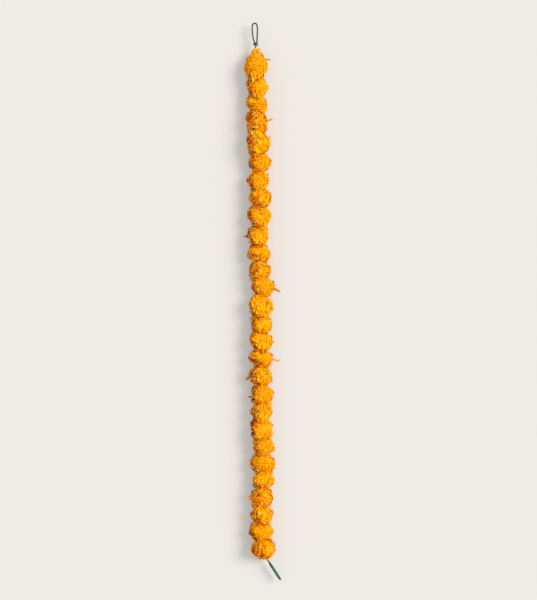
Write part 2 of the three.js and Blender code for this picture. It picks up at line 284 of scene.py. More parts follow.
class Shader:
    """A material's node tree, built from left to right."""

    def __init__(self, name: str) -> None:
        """Start a material with a Principled surface.

        Args:
            name: The material's name.
        """
        self.material = bpy.data.materials.new(name)
        self.material.use_nodes = True
        self.tree = self.material.node_tree
        self.surface = self.tree.nodes["Principled BSDF"]

    def node(self, kind: str, inputs: dict[str | int, object], **settings: object) -> bpy.types.Node:
        """Add a node.

        Args:
            kind: Its type, such as ShaderNodeMath.
            inputs: A value or another node's socket for each named or numbered input.
            settings: Attributes of the node.

        Returns:
            The node.
        """
        node = self.tree.nodes.new(kind)
        for key, value in settings.items():
            setattr(node, key, value)
        for key, value in inputs.items():
            self.feed(node.inputs[key], value)
        return node

    def feed(self, socket: bpy.types.NodeSocket, value: object) -> None:
        """Link a socket to a socket, or set it to a value.

        Args:
            socket: The input.
            value: The other node's output, or the value.
        """
        if isinstance(value, bpy.types.NodeSocket):
            self.tree.links.new(value, socket)
        else:
            socket.default_value = value

    def math(self, operation: str, *values: object, **settings: object) -> bpy.types.NodeSocket:
        """Return the result of a Math node on the values."""
        inputs = dict(enumerate(values))
        return self.node("ShaderNodeMath", inputs, operation=operation, **settings).outputs[0]

    def weighted(self, start: float, *terms: tuple[bpy.types.NodeSocket, float]) -> bpy.types.NodeSocket:
        """Add up weighted sockets.

        Args:
            start: What the sum starts from.
            terms: Each socket with its weight.

        Returns:
            The start plus each socket times its weight.
        """
        total = start
        for socket, weight in terms:
            total = self.math("MULTIPLY_ADD", socket, weight, total)
        return total

    def ramp(self, factor: bpy.types.NodeSocket, stops: Sequence[Stop]) -> bpy.types.NodeSocket:
        """Look a colour up on a ramp.

        Args:
            factor: The place on the ramp.
            stops: Each stop's place and linear colour.

        Returns:
            The colour.
        """
        node = self.node("ShaderNodeValToRGB", {0: factor})
        elements = node.color_ramp.elements
        while len(elements) < len(stops):
            elements.new(0.5)
        for element, (place, colour) in zip(elements, stops):
            element.position = place
            element.color = (*colour, 1)
        return node.outputs[0]

    def mix(self, factor: object, first: object, second: object) -> bpy.types.NodeSocket:
        """Return two colours mixed by a factor, through the inputs of a Mix node that are for colours."""
        return self.node("ShaderNodeMix", {0: factor, 6: first, 7: second}, data_type="RGBA").outputs[2]

    def noise(self, vector: bpy.types.NodeSocket, scale: float, detail: float) -> bpy.types.NodeSocket:
        """Return a noise between 0 and 1."""
        inputs = {"Vector": vector, "Scale": scale, "Detail": detail}
        return self.node("ShaderNodeTexNoise", inputs).outputs[0]

    def coordinates(self, output: str) -> bpy.types.NodeSocket:
        """Return one of the Texture Coordinate node's outputs."""
        return self.node("ShaderNodeTexCoord", {}).outputs[output]

    def stretched_uv(self, scale: tuple[float, float, float]) -> bpy.types.NodeSocket:
        """Return the UV, scaled along each axis."""
        return self.node("ShaderNodeMapping", {"Vector": self.coordinates("UV"), "Scale": scale}).outputs[0]

    def tone(self) -> bpy.types.NodeSocket:
        """Return the skin's tone."""
        return self.node("ShaderNodeAttribute", {}, attribute_name="tone").outputs["Fac"]

    def bump(self, height: bpy.types.NodeSocket, strength: float, distance: float) -> None:
        """Give the surface a bump from a height."""
        node = self.node("ShaderNodeBump", {"Height": height, "Strength": strength, "Distance": distance})
        self.feed(self.surface.inputs["Normal"], node.outputs[0])

    def finished(self, colour: object, roughness: float, specular: float) -> bpy.types.Material:
        """Dress the surface.

        Args:
            colour: Its colour, as a socket or as four numbers.
            roughness: Its roughness.
            specular: How strongly it shines, 0.5 for most plastics.

        Returns:
            The material.
        """
        self.feed(self.surface.inputs["Base Color"], colour)
        self.feed(self.surface.inputs["Roughness"], roughness)
        self.feed(self.surface.inputs["Specular IOR Level"], specular)
        return self.material


@dataclass(frozen=True)
class PetalFinish:
    """Soft matt petals: deep orange at the root, golden at the tip, with fine ribs along them.

    The place on the ramp from brown to golden is a weighted sum of the place along the petal, its tone, its
    ribs and slow patches. A tone under 0 is brown, partly for withered petals and partly as painted shade on
    the underside, and one over 1 is the pale claw of a petal. A noise is given by its scale and detail, and
    the relief by its strength and height.
    """

    brown: Colour = (0.28, 0.062, 0.005)
    deep: Colour = (0.76, 0.168, 0.001)
    middle: Colour = (0.82, 0.276, 0.001)
    golden: Colour = (0.78, 0.362, 0.001)
    cream: Colour = (0.90, 0.57, 0.13)
    places: tuple[float, float, float, float] = (0.0, 0.2, 0.5, 0.85)
    start: float = -0.34
    by_length: float = 0.30
    by_tone: float = 0.32
    by_ribs: float = 0.28
    by_patches: float = 0.80
    rib_stretch: tuple[float, float, float] = (9.0, 1.2, 1.0)
    ribs: Span = (2.6, 3.0)
    patches: Span = (60.0, 1.0)
    relief: Span = (0.5, 0.0006)
    roughness: float = 0.62
    specular: float = 0.05

    def material(self) -> bpy.types.Material:
        """Make the material.

        Returns:
            The material.
        """
        shader = Shader("marigold_petal")
        along = shader.node("ShaderNodeSeparateXYZ", {0: shader.coordinates("UV")}).outputs[1]
        ribs = shader.noise(shader.stretched_uv(self.rib_stretch), *self.ribs)
        patches = shader.noise(shader.coordinates("Object"), *self.patches)
        tone = shader.tone()
        # tones under 0 give brown, which on the skirt and core is partly painted shade
        place = shader.weighted(
            self.start,
            (along, self.by_length),
            (shader.math("MINIMUM", tone, 1.0), self.by_tone),
            (ribs, self.by_ribs),
            (patches, self.by_patches),
        )
        stops = list(zip(self.places, (self.brown, self.deep, self.middle, self.golden)))
        pale = shader.math("SUBTRACT", tone, 1.0, use_clamp=True)
        colour = shader.mix(pale, shader.ramp(place, stops), (*self.cream, 1))
        shader.bump(ribs, *self.relief)
        return shader.finished(colour, self.roughness, self.specular)


@dataclass(frozen=True)
class FloretFinish:
    """Dry florets: brown at a tone of 0, tan at 0.5, orange at 1 and cream at 1.4, mottled.

    The place on the ramp is a weighted sum of the tone and the mottle.
    """

    brown: Colour = (0.24, 0.070, 0.006)
    tan: Colour = (0.60, 0.24, 0.015)
    orange: Colour = (0.80, 0.34, 0.008)
    cream: Colour = (0.96, 0.62, 0.16)
    places: tuple[float, float, float, float] = (0.0, 0.375, 0.75, 1.0)
    start: float = -0.11
    by_tone: float = 0.675
    by_mottle: float = 0.3
    mottle: Span = (260.0, 2.0)
    relief: Span = (0.4, 0.0004)
    roughness: float = 0.7
    specular: float = 0.2

    def material(self) -> bpy.types.Material:
        """Make the material.

        Returns:
            The material.
        """
        shader = Shader("dry_floret")
        mottle = shader.noise(shader.coordinates("Object"), *self.mottle)
        place = shader.weighted(self.start, (shader.tone(), self.by_tone), (mottle, self.by_mottle))
        stops = list(zip(self.places, (self.brown, self.tan, self.orange, self.cream)))
        shader.bump(mottle, *self.relief)
        return shader.finished(shader.ramp(place, stops), self.roughness, self.specular)


@dataclass(frozen=True)
class CalyxFinish:
    """The green cup: ribbed and mottled, darker between the ribs."""

    dark: Colour = (0.010, 0.022, 0.006)
    light: Colour = (0.060, 0.105, 0.022)
    places: Span = (0.25, 0.8)
    by_tone: float = 0.4
    by_mottle: float = 0.7
    mottle: Span = (320.0, 3.0)
    relief: Span = (0.3, 0.0004)
    roughness: float = 0.6
    specular: float = 0.5

    def material(self) -> bpy.types.Material:
        """Make the material.

        Returns:
            The material.
        """
        shader = Shader("calyx_green")
        mottle = shader.noise(shader.coordinates("Object"), *self.mottle)
        place = shader.weighted(0.0, (shader.tone(), self.by_tone), (mottle, self.by_mottle))
        stops = list(zip(self.places, (self.dark, self.light)))
        shader.bump(mottle, *self.relief)
        return shader.finished(shader.ramp(place, stops), self.roughness, self.specular)


@dataclass(frozen=True)
class WireFinish:
    """Glossy green plastic coating, a little uneven along its length; its lighter streaks are partly painted
    highlights.
    """

    dark: Colour = (0.002, 0.028, 0.004)
    light: Colour = (0.008, 0.12, 0.018)
    places: Span = (0.3, 0.7)
    streak_stretch: tuple[float, float, float] = (3.0, 60.0, 1.0)
    streaks_and_highlights: Span = (1.0, 2.0)
    relief: Span = (0.15, 0.0004)
    roughness: float = 0.22
    specular: float = 0.25

    def material(self) -> bpy.types.Material:
        """Make the material.

        Returns:
            The material.
        """
        shader = Shader("coated_wire")
        # the lighter streaks are partly an uneven coat and partly painted highlights along the wire
        streaks_and_highlights = shader.noise(shader.stretched_uv(self.streak_stretch), *self.streaks_and_highlights)
        stops = list(zip(self.places, (self.dark, self.light)))
        shader.bump(streaks_and_highlights, *self.relief)
        return shader.finished(shader.ramp(streaks_and_highlights, stops), self.roughness, self.specular)


# ---- Petals ----


@dataclass(frozen=True)
class Petals:
    """The shape that a kind of petal shares, in metres and in shares of a petal's own size.

    A blade is a grid of `across` by `along` points. `claw` is its width at the root as a share of the full
    width, and it widens between the two places `widens`. `cup` and `ruffle` lift it off its middle
    line, with `waves` half waves of ruffle on each side. At the tip it narrows by `tip_narrower`, its
    corners are cut back by `corners_cut` and it is scalloped by up to `scallop`.
    """

    across: int = 9
    along: int = 4
    half_width: Span = (0.0042, 0.0068)
    thickness: float = 0.00055
    ruffle: Span = (0.0004, 0.0010)
    waves: Span = (1.4, 2.2)
    claw: float = 0.2
    cup: Span = (-0.45, 0.3)
    pale_claw: float = 0.0
    pale_until: Span = (0.25, 0.75)
    widens: Span = (0.05, 0.7)
    tip_narrower: float = 0.22
    corners_cut: float = 0.38
    scallop: float = 0.16
    rows_crowd: float = 1.4
    patterns: int = 50

    def skin(
        self, line: MiddleLines, side: Array, size: Array, tone: Array, rng: np.random.Generator
    ) -> Skin:
        """Make one petal on each middle line.

        Across its middle line the blade is straight, as wide as a smooth step from a narrow claw to the full
        width, and then lifted off that line by a cup (a share of the width times the square of the place
        across) and by a ruffle (a sine across the blade that grows along it). The tip is cut back at its
        corners and scalloped by a cosine. Both faces stand off this middle sheet by half the thickness, and
        meet along the edge. The rows of points draw together towards the tip.

        Args:
            line: The petals' middle lines.
            side: A unit vector across each petal, n by 3.
            size: Each petal's share of the full width and ruffle.
            tone: Each petal's tone.
            rng: The head's random numbers.

        Returns:
            All the petals, each closed.
        """
        count = len(side)
        whole_turn, either_way = (0, 2 * np.pi), (-self.scallop, self.scallop)
        spans = (self.half_width, self.ruffle, self.waves, self.cup, whole_turn, either_way)
        draws = (rng.uniform(*span, (count, 1, 1)) for span in spans)
        half, ruffle, waves, cup, phase, scallop = draws
        half, ruffle = half * size[:, None, None], ruffle * size[:, None, None]
        v = 1 - (1 - np.linspace(0, 1, self.along)[None, :, None]) ** self.rows_crowd
        s = np.linspace(-1, 1, self.across)[None, None, :]

        middle, ahead = line.at(v[..., None])
        aside = side[:, None, None]
        aside = unit(aside - ahead * np.sum(aside * ahead, axis=-1, keepdims=True))
        up = np.cross(aside, ahead)

        width = half * (self.claw + (1 - self.claw) * smooth(*self.widens, v))
        width = width * (1 - self.tip_narrower * smooth(0.8, 1, v) * s**2)
        lift = half * cup * s**2 * v**2
        lift = lift + ruffle * v**1.6 * (0.4 + 0.6 * np.abs(s)) * np.sin(np.pi * waves * s + phase + 1.3 * v)
        edge = scallop * np.cos(3 * np.pi * s + phase) - self.corners_cut * np.abs(s) ** 2.5
        cut = half * smooth(0.55, 1, v) * edge
        sheet = middle + aside * (width * s)[..., None] + up * lift[..., None] + ahead * cut[..., None]

        inside = (np.abs(s) < 1) & (v > 0) & (v < 1)
        gap = up * (self.thickness / 2 * inside)[..., None]
        upper = (sheet + gap).reshape(count, -1, 3)
        lower = (sheet - gap)[:, 1:-1, 1:-1].reshape(count, -1, 3)
        points = np.concatenate([upper, lower], axis=1)
        each = points.shape[1]
        one_uv = self.both_faces(np.stack(np.broadcast_arrays((s[0] + 1) / 2, v[0]), axis=-1))
        pale = self.pale_claw * (1 - smooth(*self.pale_until, v[0])) + 0 * s[0]
        pattern = np.repeat(rng.integers(0, self.patterns, count), each)
        quads = self.quads()[None] + (np.arange(count) * each)[:, None, None]
        return Skin(
            points.reshape(-1, 3),
            quads.reshape(-1, 4),
            np.tile(one_uv, (count, 1)) + np.stack([pattern, np.zeros(count * each)], axis=-1),
            (tone[:, None] + self.both_faces(pale[..., None])[:, 0]).ravel(),
        )

    @staticmethod
    def both_faces(grid: Array) -> Array:
        """Return a grid's values for the upper face's points, then for the lower face's own ones."""
        width = grid.shape[-1]
        return np.concatenate([grid.reshape(-1, width), grid[1:-1, 1:-1].reshape(-1, width)])

    def quads(self) -> Array:
        """Number the quads of one petal.

        Returns:
            The upper face's quads, then the lower face's, the other way round.
        """
        upper = np.arange(self.along * self.across).reshape(self.along, self.across)
        lower = upper.copy()
        inner = (self.along - 2) * (self.across - 2)
        lower[1:-1, 1:-1] = upper.size + np.arange(inner).reshape(self.along - 2, self.across - 2)
        faces = []
        for grid, turn in ((upper, 1), (lower, -1)):
            corners = (grid[:-1, :-1], grid[:-1, 1:], grid[1:, 1:], grid[1:, :-1])
            faces.append(np.stack(corners[::turn], axis=-1).reshape(-1, 4))
        return np.concatenate(faces)


RUFFLED = Petals()
STRAIGHT = Petals(
    across=5,
    along=5,
    half_width=(0.0018, 0.0032),
    thickness=0.0006,
    ruffle=(0.0002, 0.0006),
    waves=(0.5, 1.0),
    claw=0.5,
    cup=(0.1, 0.5),
    pale_claw=0.4,
)


@dataclass
class MiddleLines:
    """The petals' middle lines: parabolas from a root to a tip, drawn towards a control point."""

    root: Array
    bend: Array
    tip: Array

    def at(self, t: Array) -> tuple[Array, Array]:
        """Return the points (1-t)^2 root + 2t(1-t) bend + t^2 tip, and the unit directions there.

        Args:
            t: Places along the line, 1 by m by 1 by 1.

        Returns:
            Points and directions, n by m by 1 by 3.
        """
        root, bend, tip = (p[:, None, None] for p in (self.root, self.bend, self.tip))
        middle = (1 - t) ** 2 * root + 2 * t * (1 - t) * bend + t**2 * tip
        return middle, unit((1 - t) * (bend - root) + t * (tip - bend))


def golden_spiral(count: int, first: float, last: float, rng: np.random.Generator) -> tuple[Array, Array]:
    """Spread petals over a band round the crown, on a jittered golden spiral.

    Each petal has an equal share of the band's area, so the cosine of its angle from the crown falls in even
    steps, and it is a golden angle further round than the last.

    Args:
        count: How many petals there are.
        first: The band's start, as an angle from the crown.
        last: The band's end.
        rng: The head's random numbers.

    Returns:
        Each petal's angle from the crown, and the angle round it.
    """
    jitter, spread, whole_turn = (0.1, 0.9), 0.12, 6.28
    place = (np.arange(count) + rng.uniform(*jitter, count)) / count
    polar = np.arccos(np.cos(first) + (np.cos(last) - np.cos(first)) * place)
    return polar, np.arange(count) * GOLDEN_ANGLE + rng.normal(0, spread, count) + rng.uniform(0, whole_turn)


def across_petals(round_: Array, chord: Array, roll: Array, turn: Array) -> Array:
    """Find which way lies across each petal: along the circle round the crown, rolled about the chord.

    Args:
        round_: Each petal's angle round the crown.
        chord: The vector from its root to its tip.
        roll: The angle that it is rolled by.
        turn: The flower's turn on the wire.

    Returns:
        The unit vectors, n by 3.
    """
    along_round = np.stack([-np.sin(round_), np.zeros_like(round_), np.cos(round_)], axis=-1) @ turn
    roll = roll[:, None]
    return unit(along_round * np.cos(roll) + np.cross(unit(chord), along_round) * np.sin(roll))


# ---- Flower heads ----


@dataclass(frozen=True)
class DrawnUp:
    """What changes where the dome's petals are drawn up the wire, at the top head's crown.

    The change fades out `between` two angles from the crown. There the tips are sunk in by `sunk`, the roots
    stand `root_angle` of the tip's angle and `root_down` further from the crown and `root_reach` further out,
    and the control points are `bent_down` from the tips.
    """

    between: Span = (0.5, 1.2)
    sunk: float = 0.05
    root_angle: float = 0.4
    root_down: float = 0.75
    root_reach: float = 0.34
    bent_down: float = 0.45


@dataclass(frozen=True)
class Dome:
    """The ruffled petals, from the crown to past the flower's widest part.

    Angles are from the crown, in radians. Reaches and depths are shares of the outline's distance. Most
    petals, the share `in_top_layer`, end near the outline, and the rest further in. Roll grows from the
    crown to the side by `roll_degrees`, and near the side the share `wild` is rolled by up to `wild_roll`.
    """

    petals: Petals = RUFFLED
    count: int = 205
    more_on_first: int = 110
    inmost: float = math.radians(4)
    outmost: float = math.radians(113)
    outmost_on_first: float = math.radians(155)
    side: Span = (0.9, 1.7)
    in_top_layer: float = 0.72
    top_layer: Span = (-0.025, 0.025)
    under_layer: Span = (-0.075, -0.025)
    tip_reach: float = 0.97
    root_reach: float = 0.36
    root_angle: float = 0.68
    bend_reach: float = 0.88
    bent_back: Span = (0.2, 0.5)
    most_bent_back: float = 0.6
    curled_in: Span = (0.35, 0.75)
    curl: float = 0.35
    sway: float = 0.1
    roll_degrees: Span = (4, 11)
    wild: float = 0.14
    wild_roll: float = 1.1
    crown_size: float = 0.62
    grows: Span = (0.3, 1.3)
    tone: Span = (0.55, 0.9)
    deeper_at_side: float = 0.3
    on_first: DrawnUp = DrawnUp()

    def skin(self, head: MarigoldHead) -> Skin:
        """Make the dome's petals.

        A petal leaves the core nearer the crown than its tip. It is drawn towards a point on the outline
        nearer the crown too, so that its end bends over and lies on the petals below it. Round the crown
        that point is further out instead, so that the innermost petals curl in over it. On the top head's
        crown they come from further below and point up the wire. Tips end on the outline, nearer or further
        by a draw and by slow waves round the head.

        Args:
            head: The head that they are for.

        Returns:
            All the dome's petals.
        """
        rng, up, first = head.rng, self.on_first, head.is_first
        count = self.count + (self.more_on_first if first else 0)
        outmost = self.outmost_on_first if first else self.outmost
        polar, round_ = golden_spiral(count, self.inmost, outmost, rng)
        direction = spherical(polar, round_) @ head.turn
        lumps = head.waves(polar, round_)
        side_on = smooth(*self.side, polar)
        drawn_up = 1.0 - smooth(*up.between, polar) if first else np.zeros(count)
        in_top = rng.uniform(size=count) < self.in_top_layer
        top_layer = rng.uniform(*self.top_layer, count) * (1 + side_on)
        depth = np.where(in_top, top_layer, rng.uniform(*self.under_layer, count)) - up.sunk * drawn_up
        reach = head.outline(direction) * (self.tip_reach + lumps + depth)
        tip = direction * reach[:, None]

        root_polar = polar * (self.root_angle + up.root_angle * drawn_up) + up.root_down * drawn_up
        root_reach = (self.root_reach + up.root_reach * drawn_up) * reach
        root = head.seat + spherical(root_polar, round_) @ head.turn * root_reach[:, None]
        inward = np.zeros(count) if first else 1 - smooth(*self.curled_in, polar)
        back = np.minimum(rng.uniform(*self.bent_back, count), self.most_bent_back * polar)
        back = np.where(drawn_up > 0.5, -up.bent_down, (1 - inward) * back - self.curl * inward)
        over = spherical(polar - back, round_ + rng.normal(0, self.sway, count)) @ head.turn
        bend = over * (head.outline(over) * (self.bend_reach + lumps + depth))[:, None]

        at_crown, more_at_side = self.roll_degrees
        roll = rng.normal(0, 1, count) * np.radians(at_crown + more_at_side * side_on)
        wild = rng.uniform(size=count) < self.wild * side_on
        roll = np.where(wild, rng.uniform(-self.wild_roll, self.wild_roll, count), roll)
        side = across_petals(round_, tip - root, roll, head.turn)
        size = self.crown_size + (1 - self.crown_size) * smooth(*self.grows, polar)
        tone = rng.uniform(*self.tone, count) - self.deeper_at_side * side_on * rng.uniform(0, 1, count)
        return self.petals.skin(MiddleLines(root, bend, tip), side, size, tone, rng)


@dataclass(frozen=True)
class Pale:
    """The pale claws that show among the petals, small and cream."""

    tone: Span = (1.15, 1.6)
    size: float = 0.6


@dataclass(frozen=True)
class Skirt:
    """The straighter petals that come out from beside the calyx and lie along the flower's underside.

    Angles are from the crown, in radians. Reaches and depths are shares of the outline's distance. A share of
    the petals is brown, partly as withered petals and partly as painted shade on the underside, which is
    turned from the light, and those over `pale_from` are pale, except on the end heads.
    """

    petals: Petals = STRAIGHT
    pale_petals: Pale = Pale()
    count: int = 126
    inmost: float = math.radians(82)
    outmost: float = math.radians(140)
    outmost_on_first: float = math.radians(112)
    # brown petals: partly withered ones, partly painted shade on the underside that is turned from the light
    withered_and_shaded: float = 0.36
    pale_from: float = 0.76
    withered_and_shaded_depth: Span = (-0.06, 0.03)
    depth: Span = (0.0, 0.09)
    tip_reach: float = 0.98
    root_angle: float = 2.8
    root_reach: float = 0.58
    root_sway: float = 0.2
    bend_reach: float = 0.95
    bent_down: Span = (0.25, 0.6)
    sway: float = 0.1
    roll: float = 0.35
    # low tones: partly the underside's own browner colour, partly painted shade on the side turned from the
    # light
    withered_and_shaded_tone: Span = (-1.2, -0.5)
    tone: Span = (-0.3, 1.0)
    size: Span = (0.7, 1.1)

    def skin(self, head: MarigoldHead) -> Skin:
        """Make the skirt's petals.

        Their roots stand round the calyx, and they are drawn towards a point on the outline between there and
        their tips. Their claws are pale. Some of them are brown, partly as withered petals and partly as
        painted shade, since the skirt lies on the side turned from the light.

        Args:
            head: The head that they are for.

        Returns:
            All the skirt's petals.
        """
        rng, count = head.rng, self.count
        outmost = self.outmost_on_first if head.is_first else self.outmost
        polar, round_ = golden_spiral(count, self.inmost, outmost, rng)
        direction = spherical(polar, round_) @ head.turn
        lumps = head.waves(polar, round_)
        kind = rng.uniform(size=count)
        # painted shade, partly: the brown petals also stand in for shade on the skirt, which is turned from
        # the light
        withered_and_shaded = kind < self.withered_and_shaded
        pale = kind > (1.0 if head.is_first or head.is_last else self.pale_from)
        depth = np.where(withered_and_shaded, rng.uniform(*self.withered_and_shaded_depth, count), rng.uniform(*self.depth, count))
        reach = head.outline(direction) * (self.tip_reach + lumps + depth)
        tip = direction * reach[:, None]
        round_of_root = round_ + rng.normal(0, self.root_sway, count)
        root = spherical(np.full(count, self.root_angle), round_of_root) @ head.turn
        root = head.seat + root * (self.root_reach * reach)[:, None]
        down = polar + rng.uniform(*self.bent_down, count)
        over = spherical(down, round_ + rng.normal(0, self.sway, count)) @ head.turn
        bend = over * (head.outline(over) * (self.bend_reach + lumps + depth))[:, None]
        side = across_petals(round_, tip - root, rng.normal(0, self.roll, count), head.turn)
        # brown and deep tones here are partly painted shade on the skirt
        tone = np.where(withered_and_shaded, rng.uniform(*self.withered_and_shaded_tone, count), rng.uniform(*self.tone, count))
        tone = np.where(pale, rng.uniform(*self.pale_petals.tone, count), tone)
        size = rng.uniform(*self.size, count) * np.where(pale, self.pale_petals.size, 1.0)
        return self.petals.skin(MiddleLines(root, bend, tip), side, size, tone, rng)


@dataclass(frozen=True)
class Core:
    """The folded mass of petals under the outer ones.

    Depths and heights are shares of the outline's distance, and angles are from the crown, in radians. Its UV
    has as many petal widths round it as there are `blades`, all at one place along a petal. Its tone falls
    under the flower, partly for the brown underside and partly as painted shade in the gaps between the
    skirt's petals.
    """

    rings: int = 19
    sides: int = 54
    reach: float = 0.9
    under: Span = (1.7, 2.4)
    drawn_in_under: float = 0.16
    crown: Span = (0.1, 0.9)
    drawn_in_first_crown: float = 0.22
    fold_height: float = 0.03
    folds: int = 18
    ridge_height: float = 0.02
    ridges: int = 9
    blades: int = 16
    blade_place: float = 0.6
    tone: float = 0.6
    # darkening under the flower: partly brown underside, partly painted shade in the gaps
    browner_and_shaded_under: float = 1.1

    def skin(self, head: MarigoldHead) -> Skin:
        """Make the core.

        It is the outline drawn in, further under the flower and at the top head's crown, and uneven by the
        slow waves. Folds run from the crown to the foot: a sine of the angle round the crown, turned a
        little by a slow wave. Lower ridges run round it: a sine of the angle from the crown, turned in the
        same way.

        Args:
            head: The head that it is for.

        Returns:
            The core, with a pole at the crown and at the foot.
        """
        polar, round_ = np.meshgrid(
            np.linspace(0, np.pi, self.rings),
            np.linspace(0, 2 * np.pi, self.sides, endpoint=False),
            indexing="ij",
        )
        polar, round_ = polar.ravel(), round_.ravel()
        level = np.sin(polar)
        folds = self.fold_height * np.sin(self.folds * round_ + 3 * np.sin(2 * polar + 2 * round_)) * level
        folds = folds + self.ridge_height * np.sin(self.ridges * polar + 4 * np.sin(3 * round_)) * level
        direction = spherical(polar, round_) @ head.turn
        under = smooth(*self.under, polar)
        drawn_in = self.drawn_in_first_crown if head.is_first else 0.0
        share = self.reach - self.drawn_in_under * under - drawn_in * (1 - smooth(*self.crown, polar))
        share = share + head.waves(polar, round_) * level + folds
        points = direction * (head.outline(direction) * share)[:, None]
        u = self.blades * round_ / (2 * np.pi)
        uv = np.stack([u, np.full_like(polar, self.blade_place)], axis=-1)
        # painted shade in part: the core darkens under the flower, where it shows through the shaded gaps of
        # the skirt
        tone = self.tone - self.browner_and_shaded_under * under
        return merged(Skin(points, ring_quads(self.rings, self.sides), uv, tone), self.sides)


@dataclass(frozen=True)
class Tuft:
    """The petals that fill the pinch between a head and the one below.

    Lengths are in metres, but `edge`, `further_above` and `tip_reach` are shares of the outline's distance.
    That distance is taken towards points in the pinch's plane, `aimed_out` of the head's half width from its
    middle. The share `pale` is pale where the cosine of the angle round the wire is under `pale_side`.
    """

    petals: Petals = RUFFLED
    pale_petals: Pale = Pale()
    count: int = 40
    jitter: float = 0.7
    aimed_out: float = 0.66
    edge: Span = (0.82, 0.95)
    further_above: float = 0.3
    level: Span = (-0.003, 0.003)
    lean: Span = (0.003, 0.011)
    root_out: float = 0.007
    root_level: float = 0.9
    tip_reach: float = 1.06
    bend_lean: float = 0.2
    roll: float = 0.25
    pale: float = 0.3
    pale_side: float = 0.3
    size: Span = (0.7, 1.05)
    tone: Span = (0.4, 1.0)

    def skin(self, head: MarigoldHead) -> Skin:
        """Make the tuft's petals.

        They stand out round the wire from near the calyx to the outline at the plane between the heads, or
        past it on the upper side. There they bend over along the wire, one half of them up and the other
        down, and lie on the heads beside it.

        Args:
            head: The head above the pinch.

        Returns:
            All the tuft's petals.
        """
        rng, count = head.rng, self.count
        round_ = (np.arange(count) + rng.uniform(0, self.jitter, count)) * (2 * np.pi / count)
        outward = spherical(np.full(count, np.pi / 2), round_)
        at_plane = unit(outward * head.half * self.aimed_out + np.array([head.aside, -head.below, 0]))
        edge = at_plane * head.outline(at_plane)[:, None] * np.array([1, 0, 1])
        further = self.further_above * np.clip(np.sin(round_), 0, 1)
        edge = edge * (rng.uniform(*self.edge, count) + further)[:, None]
        wire_way = np.array([0, 1, 0])
        level = wire_way * (rng.uniform(*self.level, count) - head.below)[:, None]
        lean = wire_way * (rng.uniform(*self.lean, count) * rng.choice([-1, 1], count))[:, None]
        root = outward * self.root_out + level * self.root_level
        tip = edge * self.tip_reach + level + lean
        bend = edge + level + lean * self.bend_lean
        side = across_petals(round_, tip - root, rng.normal(0, self.roll, count), np.eye(3))
        pale = rng.uniform(size=count) < np.where(np.cos(round_) < self.pale_side, self.pale, 0.0)
        size = rng.uniform(*self.size, count) * np.where(pale, self.pale_petals.size, 1.0)
        tone = np.where(pale, rng.uniform(*self.pale_petals.tone, count), rng.uniform(*self.tone, count))
        return self.petals.skin(MiddleLines(root, bend, tip), side, size, tone, rng)


@dataclass(frozen=True)
class CrownTufts:
    """The petals that stand up round the wire on the garland's top, in two tufts with a notch between.

    `places` gives each tuft's place across the wire and how far its top is above the crown. Metres.
    """

    petals: Petals = RUFFLED
    places: tuple[Span, Span] = ((-0.0015, 0.0005), (0.0095, -0.002))
    in_each: int = 11
    spread: float = 0.0012
    thickness: Span = (-0.009, 0.010)
    unevenness: Span = (-0.004, 0.0015)
    root_below: float = 0.026
    root_in: float = 0.7
    bend_below: float = 0.012
    bend_out: Span = (1.3, 1.5)
    roll: float = 0.45
    size: Span = (0.38, 0.62)
    tone: Span = (0.5, 1.0)

    def skin(self, head: MarigoldHead) -> Skin:
        """Make the tufts' petals.

        Each leans out from beside the wire, swells over the flower's shoulder and ends near the crown's top.

        Args:
            head: The top head.

        Returns:
            All the petals of both tufts.
        """
        rng = head.rng
        places = np.repeat(np.array(self.places), self.in_each, axis=0)
        count = len(places)
        x = places[:, 0] + rng.normal(0, self.spread, count)
        z = rng.uniform(*self.thickness, count)
        top = head.above + places[:, 1] + rng.uniform(*self.unevenness, count)
        root = np.column_stack([x * self.root_in, top - self.root_below, z * self.root_in])
        bend = np.column_stack([x * self.bend_out[0], top - self.bend_below, z * self.bend_out[1]])
        tip = np.column_stack([x, top, z])
        roll = rng.normal(0, self.roll, count)
        side = np.column_stack([np.cos(roll), np.zeros(count), np.sin(roll)])
        size, tone = rng.uniform(*self.size, count), rng.uniform(*self.tone, count)
        return self.petals.skin(MiddleLines(root, bend, tip), side, size, tone, rng)


@dataclass(frozen=True)
class Neck:
    """The pinch between two heads: how it slopes, and how far it is cut in.

    It rises along the wire by `slope[0]` of the way across and by `slope[1]` of the way up, and on +X it is
    cut in by the share `notch`. At the garland's two ends it is level and uncut.
    """

    slope: Span = (0.0, 0.0)
    notch: float = 0.0

    @staticmethod
    def under(number: int) -> "Neck":
        """Draw the pinch under a head.

        Args:
            number: The head's number, or 0 for the garland's top.

        Returns:
            The pinch, which is the same one from both sides.
        """
        if number in (0, HEAD_COUNT):
            return Neck()
        sideways, upwards, cut_in = (-0.12, 0.12), (0.2, 0.5), (0.05, 0.3)
        rng = np.random.default_rng(NECK_SEED + number)
        slope = (rng.uniform(*sideways), rng.uniform(*upwards) * rng.choice([-1, 1]))
        return Neck(slope, rng.uniform(*cut_in))


